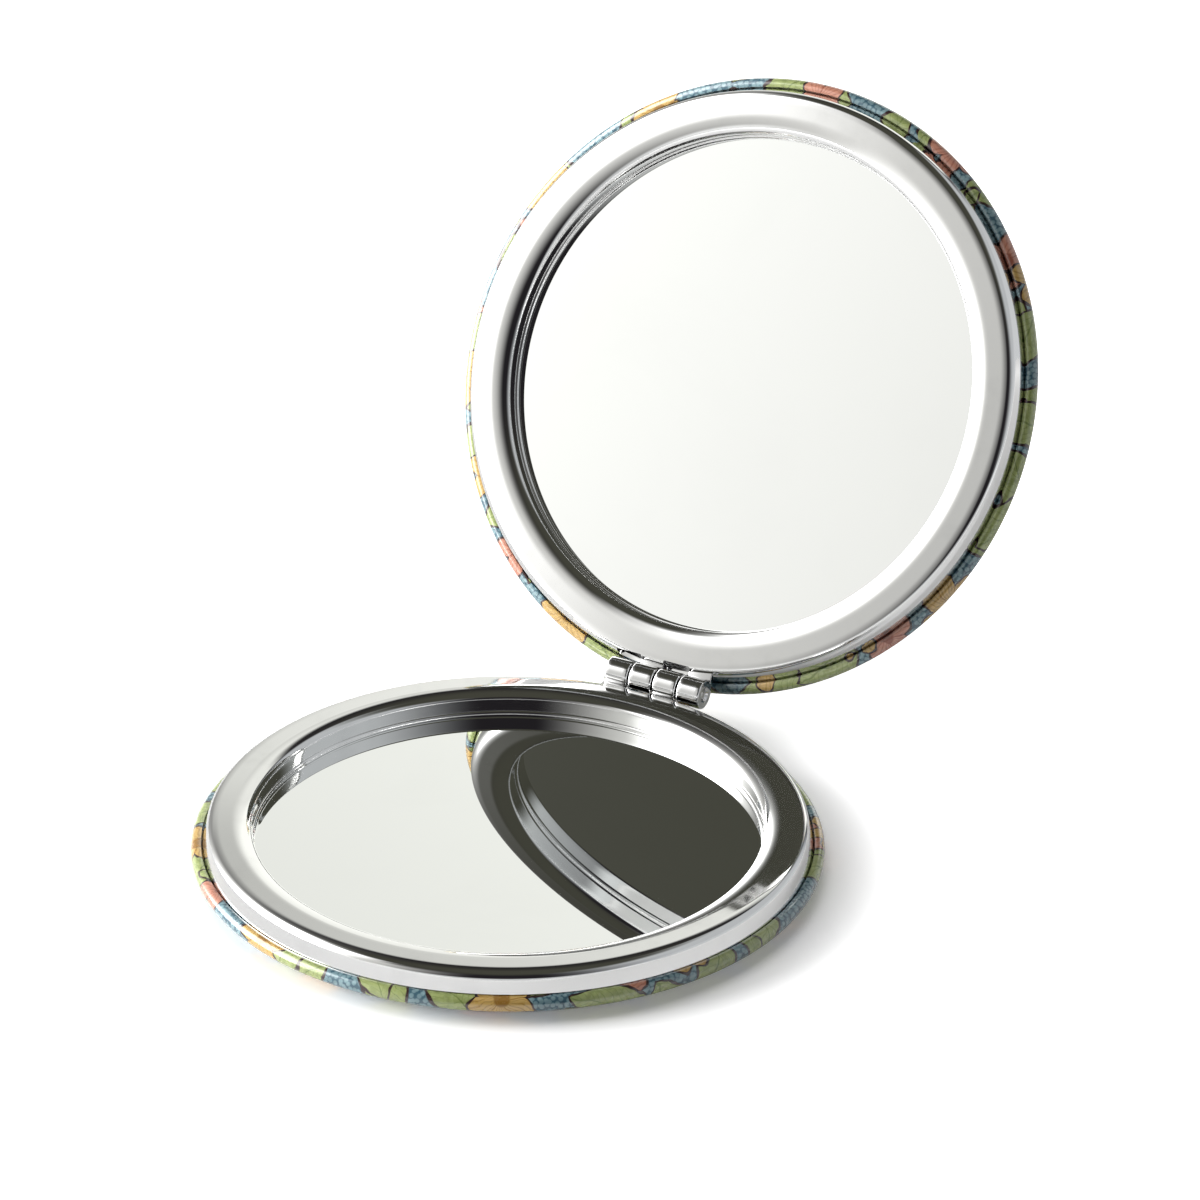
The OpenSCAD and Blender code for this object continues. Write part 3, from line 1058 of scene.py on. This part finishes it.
@dataclass(frozen=True)
class HingeLeaf:
    """A leaf under the land, with a tab through the wall to each of its two knuckles."""

    layout: Layout
    corner: float = 0.22 * MM
    bore_sink: float = 0.25 * MM
    running_fit: float = 0.04 * MM
    leaf_z: float = 4.55 * MM
    leaf_half: float = 6.5 * MM
    channel_fit: float = 0.05 * MM
    tab_corner: float = 0.08 * MM
    sharp_from: float = 32.0
    strip_steps: int = 24
    turns: int = 96

    def knuckle(self, number: int, bore_r: float) -> Solid:
        """One knuckle, its section turned about the pin's line.

        Args:
            number: Its place along the barrel.
            bore_r: Radius of its bore.

        Returns:
            The vertices and faces.
        """
        at, edge = self.layout, self.corner
        long, wide, mouth = at.knuckle_len, at.knuckle_r, bore_r + self.bore_sink
        section = thinned(np.vstack([
            [[mouth, 0.0]],
            oval((wide - edge, edge), edge, edge, -90, 0, 6),
            bar((wide, edge), (wide, long - edge), 6)[1:-1],
            oval((wide - edge, long - edge), edge, edge, 0, 90, 6),
            [[mouth, long], [bore_r, long - self.bore_sink], [bore_r, self.bore_sink]],
        ]))
        verts, faces = revolve(section, self.turns)
        return at.along_barrel(verts, at.knuckle_x(number)), faces

    def strip(self) -> Solid:
        """The curved strip spot-welded under the land: a sector of a flat ring.

        A point at angle a and radius r is (r sin a, r cos a), at the strip's two faces.

        Returns:
            The vertices and faces.
        """
        at, steps = self.layout, self.strip_steps
        low, high = self.leaf_z, self.leaf_z + at.leaf_t
        near_r, far_r = at.lip_at_r + self.channel_fit, at.bend_at_r - self.channel_fit
        reach = math.asin(self.leaf_half / far_r)
        angle = np.linspace(reach, -reach, steps + 1)
        section = np.array([[near_r, low], [far_r, low], [far_r, high], [near_r, high]])
        verts = np.empty((steps + 1, 4, 3))
        verts[:, :, 0] = np.sin(angle)[:, None] * section[None, :, 0]
        verts[:, :, 1] = np.cos(angle)[:, None] * section[None, :, 0]
        verts[:, :, 2] = section[None, :, 1]
        index = np.arange((steps + 1) * 4).reshape(steps + 1, 4)
        near, far = index[:-1], index[1:]
        quads = np.stack([near, far, np.roll(far, -1, axis=1), np.roll(near, -1, axis=1)], axis=-1)
        ends = [index[0].tolist(), index[-1][::-1].tolist()]
        return verts.reshape(-1, 3), quads.reshape(-1, 4).tolist() + ends

    def build(self, half: Half, finishes: Finishes) -> bpy.types.Object:
        """Puts the strip, tabs and knuckles together and dresses them.

        Args:
            half: The half that it belongs to.
            finishes: The shared finishes.

        Returns:
            The finished leaf.
        """
        at = self.layout
        bore_r = at.pin_r + (self.running_fit if half is Half.BASE else 0.0)
        near_y = at.lip_at_r + self.channel_fit + at.leaf_t
        far_y = at.hinge_y - (at.knuckle_r + at.pin_r) / 2
        solids = [self.strip()]
        for number in (0, 2):
            left = at.knuckle_x(number)
            solids.append(self.knuckle(number, bore_r))
            low = (left, near_y, self.leaf_z)
            high = (left + at.knuckle_len, far_y, self.leaf_z + at.leaf_t)
            solids.append(rounded_block(low, high, self.tab_corner))
        leaf = piece(f"{half.value}_leaf_and_knuckles", joined(*solids), at.place(half), self.sharp_from)
        finishes.dress(leaf, "hinge_chrome")
        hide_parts(f"{half.value}_hinge_leaf")
        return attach(leaf, half.value)


@dataclass(frozen=True)
class HingePin:
    """The pin through the four knuckles, with a low dome on each end."""

    layout: Layout
    recess: float = 0.08 * MM
    crown: float = 0.32 * MM
    sharp_from: float = 40.0
    turns: int = 64

    def build(self, finishes: Finishes) -> bpy.types.Object:
        """Revolves the pin along the barrel and dresses it.

        Args:
            finishes: The shared finishes.

        Returns:
            The finished pin.
        """
        at = self.layout
        long = at.hinge_len - 2 * self.recess
        section = np.vstack([
            oval((0.0, self.crown), at.pin_r, self.crown, -90, 0, 12),
            oval((0.0, long - self.crown), at.pin_r, self.crown, 0, 90, 12),
        ])
        section[0, 0] = section[-1, 0] = 0.0
        verts, faces = revolve(section, self.turns)
        lying = at.along_barrel(verts, -long / 2)
        pin = piece("hinge_pin_rod", (lying, faces), Matrix.Identity(4), self.sharp_from)
        finishes.dress(pin, "pin_steel")
        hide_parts("hinge_pin")
        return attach(pin, Half.LID.value)


@dataclass(frozen=True)
class CarriedOver:
    """The nodes whose own shape is right, and the slot that each is dressed in."""

    slots: tuple[tuple[str, str], ...] = (
        ("mirror", "silvered_glass"),
        ("back_pan", "tinplate"),
        ("mirror_tape", "tape"),
        ("magnet", "magnet"),
        ("cover_shell", "tinplate"),
        ("cover_pad", "foam"),
        ("cover_tape", "tape"),
    )

    def dress(self, half: Half, finishes: Finishes) -> None:
        """Gives each node of a half its finish.

        Args:
            half: The half whose nodes are dressed.
            finishes: The shared finishes.
        """
        for short, slot in self.slots:
            finishes.dress(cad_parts[f"{half.value}_{short}"], slot)
            log.info("dressed %s_%s in %s", half.value, short, slot)


# Studio


@dataclass(frozen=True)
class Camera:
    """The photograph's viewpoint."""

    stand: Triple = (0.56833, -1.03742, 0.68462)
    right: Triple = (0.87945845, 0.47596223, 0.0035763)
    up: Triple = (-0.23215739, 0.42238498, 0.87618142)
    forward: Triple = (-0.41551868, 0.77139542, -0.48196819)
    sensor: float = 36.0
    lens: float = 370.99
    shift: Pair = (0.01261, -0.00505)
    clip: Pair = (0.05, 20.0)

    def build(self) -> None:
        """Makes the camera and gives it to the scene."""
        data = bpy.data.cameras.new("viewpoint")
        data.sensor_width, data.lens = self.sensor, self.lens
        data.shift_x, data.shift_y = self.shift
        data.clip_start, data.clip_end = self.clip
        made = bpy.data.objects.new("viewpoint", data)
        turn = Matrix((self.right, self.up, tuple(-part for part in self.forward))).transposed().to_4x4()
        made.matrix_world = Matrix.Translation(self.stand) @ turn
        bpy.context.scene.collection.objects.link(made)
        bpy.context.scene.camera = made


def sine(degrees: float) -> float:
    """The sine of an angle in degrees."""
    return math.sin(math.radians(degrees))


@dataclass(frozen=True)
class Panel:
    """A pale wall or lamp round the table, as the metal shows it, in its own tint.

    Angles are degrees. Bearings count anticlockwise from +X, and the four edges count
    from the middle bearing: the panel fades in from one gone edge to its full edge, and
    out again on the other side. It is full up to one height and gone at the next, and
    may also fade in between two heights at its foot.
    """

    bearing: float
    edges: tuple[float, float, float, float]
    full_to: float
    gone_at: float
    strength: float
    colour: Colour = WHITE
    foot: Pair = (-3.0, -1.0)

    def share(self, recipe: Recipe, bearing: Socket, rise: Socket) -> Socket:
        """How much of the panel's strength a direction sees.

        Args:
            recipe: The world's node tree.
            bearing: The direction's bearing in degrees.
            rise: The sine of its height above the horizon.

        Returns:
            The strength in that direction.
        """
        aside = recipe.maths("WRAP", recipe.maths("SUBTRACT", bearing, self.bearing), 180.0, -180.0)
        first_gone, first_full, last_full, last_gone = self.edges
        fade_in = recipe.step(aside, first_gone, first_full)
        fade_out = recipe.step(aside, last_full, last_gone, 1.0, 0.0)
        top = recipe.step(rise, sine(self.full_to), sine(self.gone_at), self.strength, 0.0)
        foot = recipe.step(rise, sine(self.foot[0]), sine(self.foot[1]))
        return recipe.times(recipe.times(fade_in, fade_out), recipe.times(top, foot))


@dataclass(frozen=True)
class Lamp:
    """A soft square lamp that lights the scene and isn't shown by the metal."""

    name: str
    power: float
    size: float
    stand: Triple

    def build(self) -> None:
        """Hangs the lamp, aimed at the middle of the table."""
        data = bpy.data.lights.new(self.name, "AREA")
        data.energy, data.size = self.power, self.size
        made = bpy.data.objects.new(self.name, data)
        aim = (-Vector(self.stand)).to_track_quat("-Z", "Y")
        made.matrix_world = Matrix.Translation(self.stand) @ aim.to_matrix().to_4x4()
        made.visible_glossy = False
        bpy.context.scene.collection.objects.link(made)


@dataclass(frozen=True)
class Studio:
    """White table, soft lamps, and the room that the metal shows.

    The room is bright at the left and behind, paler and cooler at the right, with a low
    strip in front, and dark elsewhere. The table's glow is painted light: to the camera it
    goes from glow_near under the mirror to glow_far beyond it, a painted shade round the
    mirror and a painted white further out, and to the metal it is a painted reflection by
    metal_glow. Strengths, distances and angles follow the photograph.
    """

    floor_half: float = 3.0
    floor_colour: Colour = (0.93, 0.93, 0.93)
    glow_near: float = 0.19
    glow_far: float = 1.0
    glow_from: float = 34.5 * MM
    glow_full: float = 46.0 * MM
    metal_glow: Pair = (0.1, 0.8)
    metal_full: float = 1000.0 * MM
    fill_strength: float = 0.08
    dark_room: Colour = (0.020, 0.018, 0.021)
    ceiling: Colour = (0.072, 0.072, 0.056)
    ceiling_from: float = 40.0
    ceiling_full: float = 80.0
    panels: tuple[Panel, ...] = (
        # The bright wall at the left, its higher middle, and the lamp in it
        Panel(-157.0, (-81.0, -25.0, 27.0, 84.0), 36.0, 62.0, 0.97, (1.0, 1.0, 0.965)),
        Panel(-157.0, (-53.0, -23.0, 29.0, 42.0), 52.0, 66.0, 0.85),
        Panel(-160.0, (-36.0, -20.0, 20.0, 34.0), 42.0, 60.0, 6.0),
        # The wall behind, with its paler lower part
        Panel(100.0, (-13.0, -9.0, 8.0, 46.0), 37.0, 44.0, 1.07, (0.99, 1.0, 0.945)),
        Panel(100.0, (-13.0, -9.0, 22.0, 50.0), 26.0, 31.0, 0.26, (0.99, 1.0, 0.945)),
        # The low glow and the high cool light at the right
        Panel(30.0, (-60.0, -30.0, 35.0, 50.0), 4.0, 25.0, 0.15),
        Panel(35.0, (-85.0, -25.0, 42.0, 55.0), 50.0, 70.0, 0.63, (0.94, 0.975, 1.0)),
        # The low strip in front
        Panel(-60.0, (-60.0, -40.0, 40.0, 60.0), 3.0, 13.0, 0.7, (0.97, 0.99, 1.0)),
    )
    lamps: tuple[Lamp, ...] = (
        Lamp("side_lamp", 30.0, 0.8, (-0.861, -0.366, 0.165)),
        Lamp("top_lamp", 7.5, 1.2, (-0.2, 0.1, 1.5)),
    )

    def floor(self) -> None:
        """Lays the table: a flat white sheet that glows to the camera and to the metal.

        Each glow is a soft step of the distance from the mirror's middle: painted light, low under the mirror
        as a painted shade and full further out.
        """
        half = self.floor_half
        corners = [(x * half, y * half, 0) for x, y in ((-1, -1), (1, -1), (1, 1), (-1, 1))]
        mesh = bpy.data.meshes.new("table_top")
        mesh.from_pydata(corners, [], [(0, 1, 2, 3)])
        made = bpy.data.objects.new("table_top", mesh)
        bpy.context.scene.collection.objects.link(made)
        paper = bpy.data.materials.new("table_paper")
        paper.use_nodes = True
        paper.node_tree.nodes.clear()
        recipe = Recipe(paper.node_tree)
        sheet = recipe.node("BsdfDiffuse", {"Color": opaque(self.floor_colour)})
        ray = recipe.node("LightPath").outputs
        away = recipe.node("VectorMath", {0: recipe.object_place()}, operation="LENGTH").outputs["Value"]
        # Painted light: the table glows brighter away from the mirror, washing out shadows there, and stays
        # darker near it as painted shade.
        level = recipe.step(away, self.glow_from, self.glow_full, self.glow_near, self.glow_far)
        shown = recipe.times(ray["Is Camera Ray"], level)
        # Painted reflection: the metal sees the table glow, brighter with distance.
        mirrored = recipe.step(away, self.glow_full, self.metal_full, *self.metal_glow)
        strength = recipe.maths("MULTIPLY_ADD", ray["Is Glossy Ray"], mirrored, shown)
        glow = recipe.node("Emission", {"Strength": strength})
        both = recipe.node("AddShader", {0: sheet.outputs[0], 1: glow.outputs[0]})
        recipe.node("OutputMaterial", {"Surface": both.outputs[0]})
        mesh.materials.append(paper)

    def room(self) -> None:
        """Sets the world: white to the camera, a soft fill, and the room for reflections.

        The room is a function of the ray's direction alone: the dark room, going over to
        the ceiling with height, plus each panel.
        """
        world = bpy.data.worlds.new("room")
        world.use_nodes = True
        world.node_tree.nodes.clear()
        recipe = Recipe(world.node_tree)
        way = recipe.node("TexCoord").outputs["Generated"]
        parts = recipe.node("SeparateXYZ", {0: way}).outputs
        bearing = recipe.maths("DEGREES", recipe.maths("ARCTAN2", parts[1], parts[0]))
        height = recipe.step(parts[2], sine(self.ceiling_from), sine(self.ceiling_full))
        shell = recipe.tint(height, self.dark_room, self.ceiling)
        shown = recipe.node("Background", {"Color": shell, "Strength": 1.0})
        for panel in self.panels:
            bright = panel.share(recipe, bearing, parts[2])
            pale = recipe.node("Background", {"Color": opaque(panel.colour), "Strength": bright})
            shown = recipe.node("AddShader", {0: shown.outputs[0], 1: pale.outputs[0]})
        rays = recipe.node("LightPath").outputs
        fill = recipe.node("Background", {"Color": opaque(WHITE), "Strength": self.fill_strength})
        white = recipe.node("Background", {"Color": opaque(WHITE), "Strength": 1.0})
        shiny = recipe.node("MixShader", {0: rays["Is Glossy Ray"], 1: fill.outputs[0], 2: shown.outputs[0]})
        both = recipe.node("MixShader", {0: rays["Is Camera Ray"], 1: shiny.outputs[0], 2: white.outputs[0]})
        recipe.node("OutputWorld", {"Surface": both.outputs[0]})
        bpy.context.scene.world = world

    def build(self) -> None:
        """Makes the table, room and lamps, and keeps colours as they are written."""
        self.floor()
        self.room()
        for lamp in self.lamps:
            lamp.build()
        bpy.context.scene.view_settings.view_transform = "Standard"


def main() -> None:
    """Builds each piece in order, dresses the nodes that stay, and sets the studio."""
    logging.basicConfig(level=logging.INFO, format="%(name)s: %(message)s")
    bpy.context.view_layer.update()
    layout = Layout()
    finishes = Finishes()
    for half in Half:
        for maker in (ChromedFrame(layout), PrintedCover(layout), HingeLeaf(layout)):
            made = maker.build(half, finishes)
            log.info("built %s with %d faces", made.name, len(made.data.polygons))
        CarriedOver().dress(half, finishes)
    pin = HingePin(layout).build(finishes)
    log.info("built %s with %d faces", pin.name, len(pin.data.polygons))
    Camera().build()
    Studio().build()


if __name__ == "__main__":
    main()
